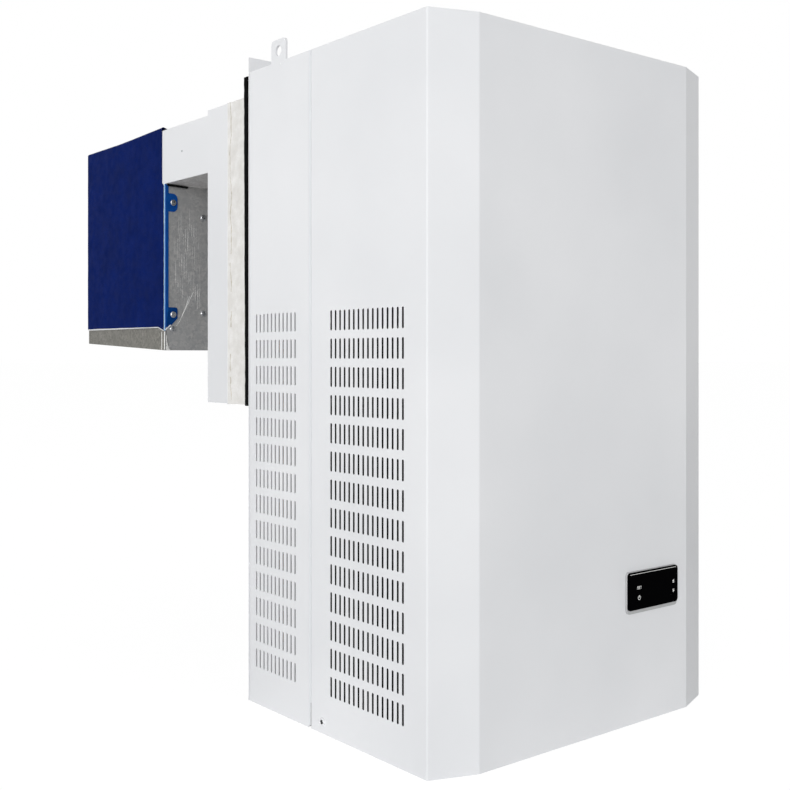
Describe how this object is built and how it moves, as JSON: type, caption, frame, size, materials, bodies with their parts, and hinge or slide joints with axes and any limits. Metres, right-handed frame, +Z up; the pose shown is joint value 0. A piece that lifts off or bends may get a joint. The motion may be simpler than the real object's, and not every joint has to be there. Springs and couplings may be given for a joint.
{
  "type": "monoblock refrigeration unit",
  "caption": "Wall plug refrigeration unit: slotted white cabinet, insulated plug with gasket, neck and evaporator casing on the cold side.",
  "frame": {"origin": "centre of the insulated plug on the outer face of the wall that it goes through", "axes": "+Z up, +Y into the cold room, the cabinet's front faces -Y"},
  "size_m": [0.4336, 0.8591, 0.766],
  "materials": {
    "white_paint": "powder coat, light orange peel",
    "white_skin": "pre-painted sheet",
    "blue_film": "dark blue protective film",
    "galvanised": "galvanised sheet",
    "zinc_screws": "zinc plated",
    "stainless": "drawn stainless",
    "black_foam": "closed cell foam strip",
    "cream_foam": "cut polyurethane foam",
    "grey_plastic": "extruded",
    "fin_aluminium": "rolled fin stock",
    "fan_aluminium": "pressed",
    "copper": "drawn copper",
    "motor_metal": "painted castings",
    "guard_wire": "coated wire",
    "black_lead": "smooth jacket",
    "black_enamel": "black enamel",
    "black_rubber": "moulded",
    "black_plastic": "moulded",
    "white_plastic": "moulded",
    "ivory_plastic": "moulded",
    "light_plastic": "moulded",
    "black_gloss": "polished"
  },
  "bodies": {
    "cabinet": {"base_pan": "galvanised", "back_panel": "white_paint", "rear_side_left": "white_paint", "rear_side_right": "white_paint", "rear_top_panel": "white_paint", "front_cover": "white_paint", "cover_screws": "white_paint", "lifting_lugs": "white_paint", "wall_gasket": "black_foam", "plug_foam": "cream_foam", "plug_skin": "white_skin", "plug_sleeves": "grey_plastic", "neck_cover": "white_skin", "neck_floor": "galvanised", "evaporator_casing": "blue_film", "evaporator_plate": "galvanised", "casing_screws": "zinc_screws", "drip_tray": "galvanised", "drain_pipe": "grey_plastic", "evaporator_fins": "fin_aluminium", "evaporator_tubes": "copper", "evaporator_end_plates": "galvanised", "defrost_heater": "stainless", "fan_panel": "blue_film", "evaporator_fan_motor": "motor_metal", "evaporator_fan_guard": "guard_wire", "sensor_lead": "black_lead", "room_sensor": "stainless", "compressor_shell": "black_enamel", "compressor_feet": "black_enamel", "compressor_grommets": "black_rubber", "compressor_bolts": "zinc_screws", "compressor_terminal_cover": "black_plastic", "condenser_fins": "fin_aluminium", "condenser_tubes": "copper", "condenser_end_plates": "galvanised", "condenser_shroud": "galvanised", "condenser_fan_motor": "motor_metal", "filter_drier": "copper", "discharge_pipe": "copper", "suction_pipe": "copper", "condenser_outlet_pipe": "copper", "liquid_pipe": "copper", "condensate_tray": "grey_plastic", "electrical_box": "galvanised", "electrical_box_cover": "galvanised", "terminal_block": "ivory_plastic", "contactor": "black_plastic", "run_capacitor": "white_plastic", "mains_gland": "black_plastic", "controller_housing": "light_plastic", "controller_face": "black_gloss"},
    "condenser_fan": {"condenser_fan_blades": "fan_aluminium"},
    "evaporator_fan": {"evaporator_fan_blades": "fan_aluminium"},
    "set_key": {"key_set": "black_gloss"},
    "power_key": {"key_power": "black_gloss"},
    "up_key": {"key_up": "black_gloss"},
    "down_key": {"key_down": "black_gloss"}
  },
  "joints": [
    {"name": "condenser_fan_spin", "type": "hinge", "parent": "cabinet", "child": "condenser_fan", "pos_m": [-0.0828, -0.1742, -0.3104], "axis": [1, 0, 0], "continuous": true},
    {"name": "evaporator_fan_spin", "type": "hinge", "parent": "cabinet", "child": "evaporator_fan", "pos_m": [0, 0.4515, 0.051], "axis": [0, 1, 0], "continuous": true},
    {"name": "set_key_press", "type": "slide", "parent": "cabinet", "child": "set_key", "axis": [0, 1, 0], "range_m": [0, 0.0004], "stiffness_N_per_m": 400},
    {"name": "power_key_press", "type": "slide", "parent": "cabinet", "child": "power_key", "axis": [0, 1, 0], "range_m": [0, 0.0004], "stiffness_N_per_m": 400},
    {"name": "up_key_press", "type": "slide", "parent": "cabinet", "child": "up_key", "axis": [0, 1, 0], "range_m": [0, 0.0004], "stiffness_N_per_m": 400},
    {"name": "down_key_press", "type": "slide", "parent": "cabinet", "child": "down_key", "axis": [0, 1, 0], "range_m": [0, 0.0004], "stiffness_N_per_m": 400}
  ]
}
